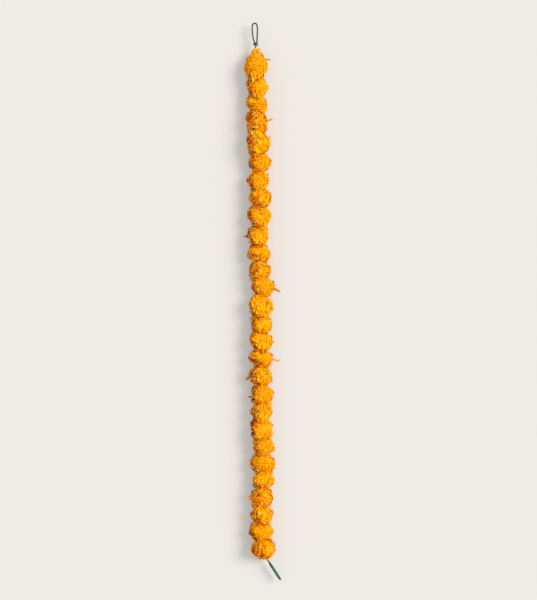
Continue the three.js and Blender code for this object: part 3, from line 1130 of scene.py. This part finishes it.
@dataclass
class MarigoldHead:
    """A flower head on the wire.

    Its own frame has Y along the wire towards the crown and Z up, and starts on the wire where the head is
    widest. It has random numbers of its own, drawn in the order in which its parts are made.

    The outline ends at `closed_end` of the head's length at the garland's ends, and would end at
    `pressed_end` of it elsewhere. `shoulder` is how far the top head draws in, at which angle from the
    crown, and how wide that is. `tilt_span` and `tilt_way` are in radians and in degrees, the second as a
    mean and a spread.
    """

    number: int
    origin: Array
    heading: float
    above: float
    below: float
    half: float
    aside: float
    is_first: bool
    is_last: bool
    closed_end: float = 1.03
    pressed_end: float = 1.34
    shoulder: tuple[float, float, float] = (0.15, math.radians(27), math.radians(22))
    seat_aside: float = 0.6
    tilt_span: Span = (math.radians(42), math.radians(88))
    tilt_way: Span = (-84, 16)
    wave_heights: tuple[float, float, float] = (0.055, 0.05, 0.03)
    overlap: float = 0.006
    held_from: float = 0.75
    swell: float = 0.03
    swells: Span = (0.25, 0.8)
    waist: float = 0.06
    narrows: Span = (0.55, 1.05)
    notched_along: Span = (0.4, 1.0)
    notched_across: Span = (0.0, 0.6)
    drawn_under: float = 0.12
    underside: Span = (0.0, 0.8)
    floor_ease: float = 0.003
    rng: np.random.Generator = field(init=False)
    turn: Array = field(init=False)
    waves: Waves = field(init=False)

    def __post_init__(self) -> None:
        """Draw the flower's turn on the wire and its slow waves."""
        self.rng = np.random.default_rng(HEAD_SEED + self.number)
        self.turn = self.tilt()
        self.waves = self.slow_waves()

    @property
    def name(self) -> str:
        """The CAD node that the head replaces."""
        return f"head_{self.number:02d}"

    @property
    def seat(self) -> Array:
        """The point that the petals' roots stand round."""
        return np.array([self.aside * self.seat_aside, 0, 0])

    def outline(self, direction: Array) -> Array:
        """Find how far the head's outline is in each direction.

        The outline is an ellipsoid set aside from the wire. It closes well past the neighbours, so that
        they press flat, except at the garland's ends. The distance solves the quadratic that says that a
        point on the ray lies on the ellipsoid. The top head draws in towards its crown, by a bell curve of
        the angle from it.

        Args:
            direction: Unit vectors in the head's frame, n by 3.

        Returns:
            The distance from the head's origin in each direction.
        """
        past_top = self.closed_end if self.is_first else self.pressed_end
        past_foot = self.closed_end if self.is_last else self.pressed_end
        along = np.where(direction[:, 1] > 0, self.above * past_top, self.below * past_foot)
        across = np.full_like(along, self.half)
        ray = direction / np.stack([across, along, across], axis=-1)
        middle = np.array([self.aside / self.half, 0, 0])
        square, towards = np.sum(ray * ray, axis=1), ray @ middle
        reach = (towards + np.sqrt(towards * towards - square * (middle @ middle - 1))) / square
        if not self.is_first:
            return reach
        drawn_in, at, over = self.shoulder
        from_crown = np.arccos(np.clip(direction[:, 1], -1, 1))
        return reach * (1 - drawn_in * np.exp(-(((from_crown - at) / over) ** 2)))

    def tilt(self) -> Array:
        """Draw the turn of the flower on the wire, about a line across the wire. The top head isn't turned.

        Returns:
            The turn, as a matrix for row vectors, by Rodrigues' formula.
        """
        amount = 0.0 if self.is_first else self.rng.uniform(*self.tilt_span)
        way = math.radians(self.rng.normal(*self.tilt_way))
        x, z = math.cos(way), math.sin(way)
        cross = np.array([[0, -z, 0], [z, 0, -x], [0, x, 0]])
        return (np.eye(3) + math.sin(amount) * cross + (1 - math.cos(amount)) * cross @ cross).T

    def slow_waves(self) -> Waves:
        """Draw the head's unevenness: three sines of the angles from the crown and round it.

        Returns:
            A function from the two angles to a share of the outline's distance.
        """
        start = self.rng.uniform(0, 2 * np.pi, 3)
        ovals, lobes, bands = self.wave_heights

        def waves(polar: Array, round_: Array) -> Array:
            """Add the three sines up.

            Args:
                polar: Angles from the crown.
                round_: Angles round it.

            Returns:
                Shares of the outline's distance.
            """
            two = ovals * np.sin(2 * round_ + start[0])
            three = lobes * np.sin(3 * round_ + start[1] + 2 * polar)
            return two + three + bands * np.sin(5 * polar + start[2] + round_)

        return waves

    def skin(self) -> Skin:
        """Make the whole head.

        It is the dome of petals, the skirt under it and the core inside, with the tuft between it and the
        next head, and the crown tufts on the top head. All of it is pressed between the neighbours and laid
        down.

        Returns:
            The head, at its place on the wire.
        """
        parts = [Dome().skin(self), Skirt().skin(self), Core().skin(self)]
        if not self.is_last:
            parts.append(Tuft().skin(self))
        if self.is_first:
            parts.append(CrownTufts().skin(self))
        skin = Skin.joined(parts)
        skin.vertices = turned(self.leaning(self.pressed(skin.vertices)), self.heading) + self.origin
        skin.vertices[:, 2] = self.laid(skin.vertices[:, 2])
        return skin

    def pressed(self, points: Array) -> Array:
        """Hold points between the neighbours.

        Past a share of its limit, y nears it as a tanh. Next to another head the limit is a little past the
        middle between them, so that their petals mingle. The head swells in the middle and narrows at the
        pinches by smoothsteps, and each pinch has its notch on +X.

        Args:
            points: Points in the head's frame, n by 3.

        Returns:
            The points, held.
        """
        foot, top = Neck.under(self.number), Neck.under(self.number - 1)
        y = points[:, 1]
        past = np.where(y > 0, 0.0 if self.is_first else self.overlap, 0.0 if self.is_last else self.overlap)
        limit = np.where(y > 0, self.above, self.below) + past
        share = np.abs(y) / limit
        left = 1 - self.held_from
        held = self.held_from + left * np.tanh((share - self.held_from) / left)
        result = points.copy()
        result[:, 1] = np.where(share > self.held_from, np.sign(y) * limit * held, y)
        swollen = self.swell * (1 - smooth(*self.swells, share))
        narrow = np.where(past > 0, 1 + swollen - self.waist * smooth(*self.narrows, share), 1)
        result[:, [0, 2]] *= narrow[:, None]
        notch = np.where(y < 0, foot.notch, top.notch) * smooth(*self.notched_along, share)
        result[:, 0] *= 1 - notch * smooth(*self.notched_across, result[:, 0] / self.half)
        return result

    def leaning(self, points: Array) -> Array:
        """Move points along the wire, so that each end slopes as the pinch there does.

        The slope changes as a smoothstep from one end to the other. The flower's lower side is drawn in a
        little towards its middle, as the surface presses it.

        Args:
            points: Points in the head's frame, n by 3.

        Returns:
            The points, moved.
        """
        foot, top = Neck.under(self.number), Neck.under(self.number - 1)
        place = smooth(-self.below, self.above, points[:, 1])[:, None]
        slope = (1 - place) * np.array(foot.slope) + place * np.array(top.slope)
        result = points.copy()
        result[:, 1] += np.sum(points[:, [0, 2]] * slope, axis=1)
        under = smooth(*self.underside, -points[:, 2] / self.half)
        result[:, 0] -= self.drawn_under * under * (points[:, 0] - self.aside)
        return result

    def laid(self, height: Array) -> Array:
        """Return the heights, eased to stay above the surface: near it they fall off exponentially."""
        eased = self.floor_ease * np.exp(height / self.floor_ease - 1)
        return np.where(height < self.floor_ease, eased, height)


class CalyxShape(Enum):
    """Radii in millimetres against shares of the length, from the foot over the rim to the inside."""

    CUP = ((0, 0.0), (2.6, 0.0), (3.5, 0.06), (4.4, 0.5), (4.7, 0.86), (4.5, 1.0), (3.0, 0.9), (0, 0.82))
    TAIL = ((0, 0.0), (2.9, 0.0), (4.0, 0.06), (4.8, 0.45), (5.3, 0.85), (5.4, 1.0), (3.5, 0.9), (0, 0.82))


@dataclass
class Calyx:
    """The ribbed cup under a head.

    `foot` is its lower end on the wire, and `length` its depth along the wire. Heights of ribs are shares
    of the radius, and heights along the wire are shares of the length.
    """

    number: int
    foot: Array
    heading: float
    length: float
    shape: CalyxShape
    sides: int = 40
    ribs: int = 10
    rib_height: float = 0.05
    body: float = 0.92
    rim: float = 0.84
    teeth: int = 5
    tooth_height: float = 0.06
    tone: Span = (0.5, 0.3)

    @property
    def name(self) -> str:
        """The CAD node that the calyx replaces."""
        return f"calyx_{self.number:02d}"

    def skin(self) -> Skin:
        """Make the cup: the shape's profile turned about the wire, ribbed by a cosine.

        The rim rises and falls by a cosine with one crest for each tooth.

        Returns:
            The cup, with a pole at the foot and at the bottom of the inside.
        """
        profile = np.array(self.shape.value)
        angle = np.linspace(0, 2 * np.pi, self.sides, endpoint=False)[None]
        ribs = np.cos(self.ribs * angle)
        radius = profile[:, :1] * MM * (1 + self.rib_height * ribs)
        rise = np.where(profile[:, 1:] > self.rim, self.tooth_height * np.cos(self.teeth * angle), 0)
        y = self.length * (profile[:, 1:] * self.body + rise)
        points = np.stack([radius * np.cos(angle), y, radius * np.sin(angle)], axis=-1).reshape(-1, 3)
        points = turned(points, self.heading) + self.foot
        middle, swing = self.tone
        tone = np.broadcast_to(middle + swing * ribs, radius.shape).ravel()
        quads = ring_quads(len(profile), self.sides)
        skin = merged(Skin(points, quads, np.zeros((len(points), 2)), tone), self.sides)
        skin.quads = skin.quads[:, ::-1]
        return skin


# ---- What sticks out between the heads ----


class FloretShape(Enum):
    """Radii in millimetres at equal steps from a floret's root to its tip, and its section's flatness."""

    TUBE = ((3.2, 2.8, 2.4, 2.2, 2.2, 2.1, 1.0), 0.9)
    CLUB = ((2.2, 2.1, 2.2, 2.5, 2.9, 2.7, 1.2), 0.8)
    STUB = ((6.4, 5.8, 5.2, 4.7, 4.4, 4.0, 2.0), 0.7)
    SPIKE = ((9.0, 8.4, 7.2, 5.0, 2.4, 1.2, 0.4), 0.45)
    BLADE = ((1.2, 2.0, 2.8, 2.8, 2.2, 1.4, 0.4), 0.35)


@dataclass(frozen=True)
class Floret:
    """A loose floret or bract.

    Its route is in millimetres from root to tip, seen from above, and it rises by `rise` from `height`. Its
    tone goes from `tones[0]` at the root to `tones[1]` at the tip. `steps` is how many points its curve has
    in all, and `sides` how many there are round it.
    """

    shape: FloretShape
    route: tuple[Span, ...]
    tones: Span = (0.35, 0.75)
    height: float = 31.0
    rise: float = 3.0
    steps: int = 12
    sides: int = 10

    def skin(self) -> Skin:
        """Make the floret: its radii, joined by straight lines, carried along a curve through its route.

        Returns:
            The floret, closed at both ends.
        """
        flat = np.array(self.route, dtype=float)
        lift = np.linspace(self.height, self.height + self.rise, len(flat))
        path = spline(np.column_stack([flat, lift]) * MM, self.steps // (len(flat) - 1))
        share = np.linspace(0, 1, len(path))
        radii, flatness = self.shape.value
        radius = np.interp(share, np.linspace(0, 1, len(radii)), radii) * MM
        return along_path(path, radius, self.sides, np.interp(share, [0, 1], self.tones), flatness)


@dataclass
class LooseFlorets:
    """The florets that stand out at the sides, and green bracts that show between the heads.

    The last fields are for the florets that stand up: how far in millimetres their roots and tips are from
    the wire, seen from above, and how far they rise.
    """

    florets: tuple[Floret, ...] = (
        Floret(FloretShape.CLUB, ((8, 661), (16, 660), (22, 660.8)), (0.4, 0.9)),
        Floret(FloretShape.CLUB, ((8, 490), (18, 494.6), (27.5, 499.6))),
        Floret(FloretShape.TUBE, ((8, 436), (16.9, 446), (21, 452.5)), (0.5, 1.0)),
        Floret(FloretShape.SPIKE, ((-28, 176), (-42, 177.5), (-55, 177.5)), (0.15, -0.1)),
        Floret(FloretShape.CLUB, ((16, 43), (25, 47.2), (33, 49.2)), (0.5, 0.95)),
        Floret(FloretShape.TUBE, ((24, 42), (35, 35), (48, 27.4)), (0.4, 0.6), 32),
        Floret(FloretShape.TUBE, ((24, 38), (36, 32), (47, 25.2)), (0.3, 0.5), 29),
        Floret(FloretShape.CLUB, ((14, -108), (24, -109.6), (33, -111.2)), (0.6, 0.95)),
        Floret(FloretShape.TUBE, ((20, -154), (31.4, -158.6), (41, -162.2), (47.5, -158)), (0.5, 0.8)),
        Floret(FloretShape.STUB, ((-18, -194), (-33, -203), (-47, -214.6)), (0.45, 0.15)),
        Floret(FloretShape.BLADE, ((12, -275), (21, -279), (29, -283)), (0.8, 1.0)),
        Floret(FloretShape.CLUB, ((16, -253), (27.5, -254)), (0.7, 0.9)),
        Floret(FloretShape.CLUB, ((-28, -260), (-40, -261)), (0.1, 0.35)),
        Floret(FloretShape.CLUB, ((24, -441), (30, -442.4), (35.5, -443)), (0.7, 1.0)),
        Floret(FloretShape.CLUB, ((20, -465), (29.5, -466.5)), (0.7, 1.0)),
        Floret(FloretShape.CLUB, ((22, -482), (33.3, -483.7)), (0.7, 1.0)),
        Floret(FloretShape.BLADE, ((-18, -500), (-30.5, -504.2)), (0.0, 0.2)),
        Floret(FloretShape.BLADE, ((-20, -516), (-33.5, -519.4)), (0.1, 0.4)),
        Floret(FloretShape.TUBE, ((-26, -531), (-37, -534), (-48.3, -537.2)), (0.3, 1.0)),
        Floret(FloretShape.CLUB, ((2, 577), (16, 579)), (0.8, 1.0)),
        Floret(FloretShape.BLADE, ((-30, 610), (-25, 598)), (1.5, 1.3), 50, 3),
        Floret(FloretShape.BLADE, ((-31, 462), (-26, 450)), (1.5, 1.3), 52, 3),
    )
    bracts: tuple[Floret, ...] = (
        Floret(FloretShape.BLADE, ((-28, 603), (-35, 611), (-41.5, 618.6)), height=53, rise=-9),
        Floret(FloretShape.BLADE, ((-28, 513), (-41.5, 516.5)), height=29),
        Floret(FloretShape.BLADE, ((-24, 364), (-38, 367.5)), height=29),
        Floret(FloretShape.BLADE, ((-22, 302), (-35.5, 304.6)), height=29),
        Floret(FloretShape.BLADE, ((-22, -215), (-35.5, -217.8)), height=29),
        Floret(FloretShape.BLADE, ((-8, -322), (-15.5, -327)), height=48, rise=5),
        Floret(FloretShape.BLADE, ((-12, -376), (-22, -379)), height=44, rise=5),
    )
    upright_root: float = 6
    upright_tip: Span = (12, 19)
    upright_height: float = 44
    upright_rise: Span = (18, 23)

    def upright(self, heads: Sequence[MarigoldHead]) -> list[Floret]:
        """Make a few more florets that stand up from the upper side, on every third head.

        Args:
            heads: The garland's heads.

        Returns:
            The florets.
        """
        rng = np.random.default_rng(FLORET_SEED)
        florets = []
        for head in heads[2::3]:
            x, y = (float(v) for v in head.origin[:2] / MM)
            way, reach = rng.uniform(0, 2 * np.pi), rng.uniform(*self.upright_tip)
            ends = (self.upright_root, reach)
            route = tuple((x + far * math.cos(way), y + far * math.sin(way)) for far in ends)
            shape = (FloretShape.CLUB, FloretShape.TUBE)[int(rng.integers(2))]
            rise = float(rng.uniform(*self.upright_rise))
            florets.append(Floret(shape, route, (0.5, 1.0), self.upright_height, rise))
        return florets


# ---- The wire ----


class LoopEnd(Enum):
    """How a loop's wire ends."""

    WRAPPED = "turned round the loop's own neck"
    HAIRPIN = "laid back beside the neck"


@dataclass
class Loop:
    """A loop at one end of the wire.

    `neck` is where it leaves its head, `inside` the point in the head where it meets the straight run. It
    points `heading` degrees clockwise from +Y and is turned `roll` degrees about its own length. A wrapped
    end makes `wrap_turns` round the neck, from `wrap_top` to `wrap_top - wrap_fall` millimetres up it,
    `wrap_gap` clear of it, and then stands out to `wrap_tip`.
    """

    end: LoopEnd
    neck: Array
    inside: Array
    heading: float
    roll: float
    length: float
    wire: float
    wrap_turns: float = 1.05
    wrap_top: float = 10.5
    wrap_fall: float = 5.5
    wrap_gap: float = 0.35
    wrap_tip: tuple[float, float, float] = (6.6, 4.4, 4.2)
    steps: int = 8

    def sides(self) -> Array:
        """List the points up one side of the loop and down the other.

        Returns:
            The points in millimetres, across the loop and along it, n by 3.
        """
        bend = (self.length - self.wire) / MM
        if self.end is LoopEnd.HAIRPIN:
            flat = [
                (0, 0), (0, 2.5), (-2.4, 8), (-5.4, 14), (-6.9, 22), (-7.2, 32), (-7.2, bend - 18),
                (-6.5, bend - 7), (-3.9, bend - 1.6), (0, bend), (3.9, bend - 1.6), (6.5, bend - 7),
                (7.2, bend - 18), (7.2, 32), (6.9, 22), (5.4, 14), (3.9, 9),
            ]
            return np.array([(x, y, 0) for x, y in flat])
        flat = [
            (0, 0), (0, 6), (-0.5, 10), (-2.6, 14.5), (-4.9, 22), (-6.3, 32), (-7, bend - 19),
            (-6.4, bend - 7), (-3.8, bend - 1.6), (0, bend), (3.8, bend - 1.6), (6.4, bend - 7),
            (7, bend - 19), (6, 32), (5, 20), (4.8, 14.5),
        ]
        return np.concatenate([np.array([(x, y, 0) for x, y in flat]), self.wrap()])

    def wrap(self) -> Array:
        """Make the end's turn round the neck, a helix.

        Returns:
            The helix and the point where the end stands out, in millimetres, n by 3.
        """
        share = np.linspace(0, 1, 11)
        turn = share * 2 * np.pi * self.wrap_turns
        radius = 2 * self.wire / MM + self.wrap_gap
        height = self.wrap_top - self.wrap_fall * share
        helix = np.stack([radius * np.cos(turn), height, radius * np.sin(turn)], axis=-1)
        return np.concatenate([helix, [self.wrap_tip]])

    def path(self) -> Array:
        """Put the loop in its place: rolled about its own length, turned to its heading and set on its neck.

        Returns:
            The wire's middle from the straight run to the end of the loop, n by 3.
        """
        cos, sin = math.cos(math.radians(self.roll)), math.sin(math.radians(self.roll))
        rolled = self.sides() * MM @ np.array([[cos, 0, -sin], [0, 1, 0], [sin, 0, cos]])
        outside = turned(rolled, math.radians(self.heading)) + self.neck
        stub = self.inside + (self.neck - self.inside) * np.array([[0], [0.33], [0.66]])
        return spline(np.concatenate([stub, outside]), self.steps)


@dataclass
class Wire:
    """The green coated wire, one piece from loop to loop."""

    radius: float = 2.1 * MM
    cut_end: float = 0.8
    sides: int = 14
    sharp_degrees: float = 70

    def skin(self, loops: tuple[Loop, Loop], run: Array) -> Skin:
        """Make the whole wire.

        Args:
            loops: The hanging loop and the end loop.
            run: Points of the straight run between them, from the top down.

        Returns:
            The wire, a little narrower at its two cut ends.
        """
        path = np.concatenate([loops[0].path()[::-1], run, loops[1].path()])
        radius = np.full(len(path), self.radius)
        radius[[0, -1]] *= self.cut_end
        return along_path(path, radius, self.sides)


# ---- The studio ----


@dataclass
class Studio:
    """Floor, light and camera.

    Angles are in degrees, and the sun's place is an azimuth from +X and a height.
    """

    picture_height: float = 1.6386
    picture_middle: Span = (0.0156, 0.0038)
    camera_height: float = 5.0
    sharp_height: float = 0.03
    sensor_width: float = 36.0
    clip_end: float = 100.0
    floor_reach: float = 12.0
    floor_colour: Colour = (0.375, 0.363, 0.348)
    glow_colour: Colour = (1.0, 0.965, 0.91)
    glow: float = 0.266
    floor_roughness: float = 0.9
    floor_specular: float = 0.1
    sun_colour: Colour = (1.0, 0.965, 0.92)
    sun_strength: float = 3.4
    sun_width: float = 28
    sun_place: Span = (20, 47)
    sky_colour: Colour = (0.94, 0.985, 1.0)
    sky_strength: float = 0.85

    def build(self) -> None:
        """Put up the floor, the lights and the camera."""
        self.floor()
        self.lights()
        self.camera()

    def floor(self) -> None:
        """Lay a plain pale floor."""
        mesh = bpy.data.meshes.new("floor")
        far = self.floor_reach
        mesh.from_pydata([(-far, -far, 0), (far, -far, 0), (far, far, 0), (-far, far, 0)], [], [(0, 1, 2, 3)])
        shader = Shader("pale_floor")
        shader.surface.inputs["Emission Color"].default_value = (*self.glow_colour, 1)
        shader.surface.inputs["Emission Strength"].default_value = self.glow
        colour = (*self.floor_colour, 1)
        mesh.materials.append(shader.finished(colour, self.floor_roughness, self.floor_specular))
        floor = bpy.data.objects.new("floor", mesh)
        bpy.context.scene.collection.objects.link(floor)
        floor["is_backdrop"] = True

    def lights(self) -> None:
        """Light it softly from the right, with a pale sky all round."""
        sun = bpy.data.lights.new("key", "SUN")
        sun.energy = self.sun_strength
        sun.color = self.sun_colour
        sun.angle = math.radians(self.sun_width)
        key = bpy.data.objects.new("key", sun)
        azimuth, height = (math.radians(angle) for angle in self.sun_place)
        towards = Vector((math.cos(azimuth), math.sin(azimuth), math.tan(height)))
        key.rotation_euler = towards.to_track_quat("Z", "Y").to_euler()
        bpy.context.scene.collection.objects.link(key)
        world = bpy.data.worlds.new("sky")
        world.use_nodes = True
        background = world.node_tree.nodes["Background"]
        background.inputs["Color"].default_value = (*self.sky_colour, 1)
        background.inputs["Strength"].default_value = self.sky_strength
        bpy.context.scene.world = world

    def camera(self) -> None:
        """Look straight down, with the hanging loop at the top of the picture."""
        data = bpy.data.cameras.new("camera")
        camera = bpy.data.objects.new("camera", data)
        camera.location = (*self.picture_middle, self.camera_height)
        data.sensor_width = self.sensor_width
        data.lens = self.sensor_width * (self.camera_height - self.sharp_height) / self.picture_height
        data.clip_end = self.clip_end
        bpy.context.scene.collection.objects.link(camera)
        bpy.context.scene.camera = camera
        bpy.context.scene.view_settings.view_transform = "Standard"


# ---- The garland ----


def box_of(node: str) -> tuple[Array, Array]:
    """Return the low and the high corner of a CAD node's box."""
    low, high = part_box(node)
    return np.array(low), np.array(high)


def finished(piece: bpy.types.Object, slot: Slot, *nodes: str) -> None:
    """Fasten a piece to the garland's only body and hide the CAD nodes that it replaces.

    Args:
        piece: The piece.
        slot: Its material slot; not used.
        nodes: The CAD nodes that it replaces, if any.
    """
    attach(piece, "root")
    if nodes:
        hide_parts(*nodes)
    LOG.info("%s: %d faces", piece.name, len(piece.data.polygons))


@dataclass
class Garland:
    """All the heads on their wire.

    A head is widest at a share of its length above its foot. A loop's shape is its heading and roll in
    degrees, and its length.
    """

    top_neck: tuple[float, float, float] = (-20 * MM, 695 * MM, 28 * MM)
    bottom_neck: tuple[float, float, float] = (13 * MM, -704 * MM, 28 * MM)
    top_loop: tuple[float, float, float] = (-2, 0, 67 * MM)
    bottom_loop: tuple[float, float, float] = (147, 72, 64 * MM)
    last_calyx_tail: float = 4 * MM
    widest: float = 0.5
    widest_of_first: float = 0.42

    def stations(self) -> Array:
        """Find the points of the wire between the heads, from the calyxes' feet.

        Returns:
            The points from the top down, one more than there are heads.
        """
        feet = [np.array(self.top_neck)]
        for number in range(1, HEAD_COUNT):
            low, high = box_of(f"calyx_{number:02d}")
            feet.append(np.array([(low[0] + high[0]) / 2, low[1], (low[2] + high[2]) / 2]))
        feet.append(np.array(self.bottom_neck))
        return np.array(feet)

    def heads(self, stations: Array) -> list[MarigoldHead]:
        """Measure the heads.

        Args:
            stations: The points of the wire between them.

        Returns:
            The heads, each between two stations and as wide as its CAD node.
        """
        heads = []
        for number, (top, foot) in enumerate(zip(stations[:-1], stations[1:]), start=1):
            low, high = box_of(f"head_{number:02d}")
            along = top - foot
            length = float(np.linalg.norm(along))
            below = length * (self.widest_of_first if number == 1 else self.widest)
            origin = foot + along * (below / length)
            heads.append(
                MarigoldHead(
                    number=number,
                    origin=origin,
                    heading=math.atan2(along[0], along[1]),
                    above=length - below,
                    below=below,
                    half=float(high[0] - low[0]) / 2,
                    aside=float((low[0] + high[0]) / 2 - origin[0]),
                    is_first=number == 1,
                    is_last=number == HEAD_COUNT,
                )
            )
        return heads

    def calyx(self, head: MarigoldHead, foot: Array) -> Calyx:
        """Measure the calyx of a head.

        Args:
            head: The head.
            foot: The calyx's foot on the wire.

        Returns:
            The calyx, from its foot to the top of its CAD node.
        """
        _, high = box_of(f"calyx_{head.number:02d}")
        length = float(high[1] - foot[1]) / math.cos(head.heading)
        shape = CalyxShape.TAIL if head.is_last else CalyxShape.CUP
        return Calyx(head.number, foot, head.heading, length, shape)

    def build(self) -> None:
        """Make every piece, with the heads first."""
        stations = self.stations()
        heads = self.heads(stations)
        petal = PetalFinish().material()
        for head in heads:
            piece = head.skin().piece(f"petals_{head.number:02d}", petal)
            finished(piece, Slot.PETALS, head.name)
        green, dry = CalyxFinish().material(), FloretFinish().material()
        last_neck = stations[-1] + unit(stations[-1] - stations[-2]) * self.last_calyx_tail
        for head, foot in zip(heads, [*stations[1:-1], last_neck]):
            calyx = self.calyx(head, foot)
            piece = calyx.skin().piece(f"cup_{head.number:02d}", dry if head.is_last else green)
            finished(piece, Slot.CALYX, calyx.name)
        loose = LooseFlorets()
        florets = Skin.joined([floret.skin() for floret in [*loose.florets, *loose.upright(heads)]])
        finished(florets.piece("loose_florets", dry), Slot.PETALS)
        bracts = Skin.joined([bract.skin() for bract in loose.bracts])
        finished(bracts.piece("bracts", green), Slot.CALYX)
        wire = Wire()
        loops = (
            Loop(LoopEnd.WRAPPED, stations[0], heads[0].origin, *self.top_loop, wire.radius),
            Loop(LoopEnd.HAIRPIN, last_neck, heads[-1].origin, *self.bottom_loop, wire.radius),
        )
        skin = wire.skin(loops, stations[1:-1])
        piece = skin.piece("green_wire", WireFinish().material(), wire.sharp_degrees)
        finished(piece, Slot.WIRE, "core_wire", "hanging_loop", "end_loop")


def main() -> None:
    """Build the garland and its studio."""
    logging.basicConfig(level=logging.INFO, format="%(name)s %(message)s")
    Studio().build()
    Garland().build()
    boxes = {"cad": CAD_BOX, "visual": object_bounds()}
    {name: [list(corner) for corner in box] for name, box in boxes.items()}


if __name__ == "__main__":
    main()
